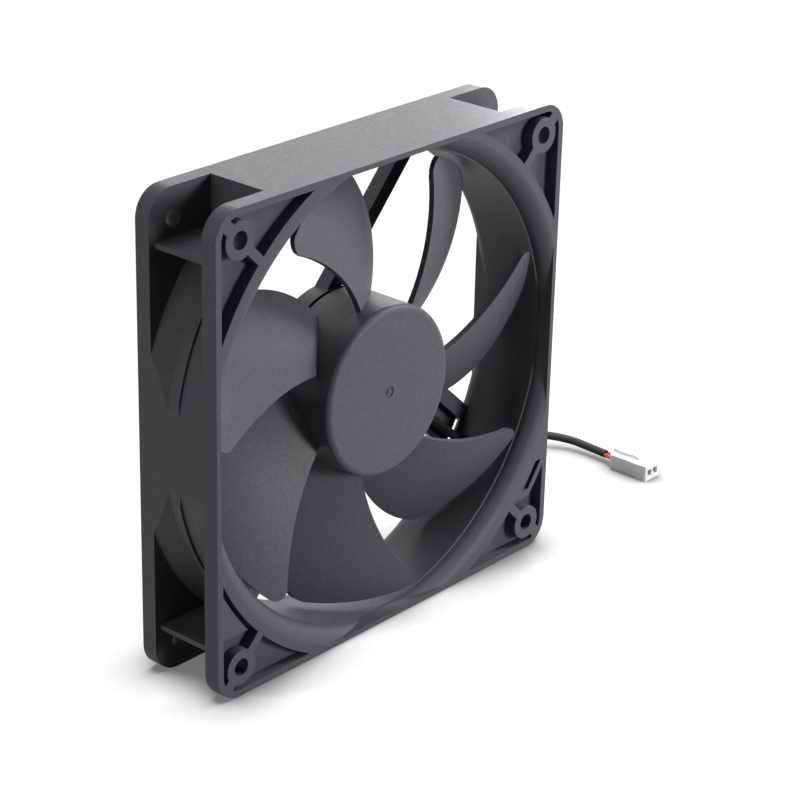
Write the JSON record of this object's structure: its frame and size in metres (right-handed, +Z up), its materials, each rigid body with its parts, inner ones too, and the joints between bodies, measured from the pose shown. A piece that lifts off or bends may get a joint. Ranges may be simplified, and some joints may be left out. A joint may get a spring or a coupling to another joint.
{
  "type": "cooling fan",
  "caption": "Square axial cooling fan for servers: open-cornered moulded frame, swept-blade impeller on a hub motor, screw-hole flanges and a short lead with a white plug.",
  "frame": {"origin": "centre of the frame's footprint, on the lower edges that it stands on; the lead and plug are left out of this box", "axes": "+Z up, +X to the right seen from the intake side, -Y out of the intake face; the fan turns about Y"},
  "size_m": [0.1732, 0.0411, 0.12],
  "materials": {
    "frame_plastic": "fine matt moulding, charcoal black",
    "impeller_plastic": "satin moulding, charcoal black",
    "brass": "turned",
    "bronze": "sintered, oiled",
    "nylon": "natural moulding",
    "core_steel": "stacked sheet edges",
    "copper": "enamelled",
    "tinned_steel": "tinned",
    "board": "solder mask",
    "chip_black": "moulded",
    "capacitor_tan": "fired",
    "wire_red": "extruded",
    "wire_black": "extruded",
    "sleeve_black": "heat-shrunk",
    "plug_white": "natural nylon",
    "yoke_steel": "drawn, plated",
    "magnet": "bonded magnet",
    "shaft_steel": "ground"
  },
  "bodies": {
    "frame": {"housing": "frame_plastic", "bearing_tube": "brass", "sleeve_bearing": "bronze", "thrust_washer": "nylon", "stator_core": "core_steel", "front_insulator": "nylon", "rear_insulator": "nylon", "windings": "copper", "terminal_pins": "tinned_steel", "circuit_board": "board", "hall_sensor": "chip_black", "driver_chip": "chip_black", "capacitors": "capacitor_tan", "red_wire": "wire_red", "black_wire": "wire_black", "lead_sleeve_held": "sleeve_black", "lead_sleeve": "sleeve_black", "red_wire_tail": "wire_red", "black_wire_tail": "wire_black", "plug_housing": "plug_white", "plug_contacts": "tinned_steel"},
    "rotor": {"impeller": "impeller_plastic", "rotor_yoke": "yoke_steel", "magnet_ring": "magnet", "shaft_bushing": "brass", "shaft": "shaft_steel", "retaining_clip": "shaft_steel", "shim_washer": "shaft_steel", "oil_ring": "nylon"}
  },
  "joints": [
    {"name": "rotor_spin", "type": "hinge", "parent": "frame", "child": "rotor", "pos_m": [0, 0, 0.06], "axis": [0, -1, 0], "continuous": true}
  ]
}
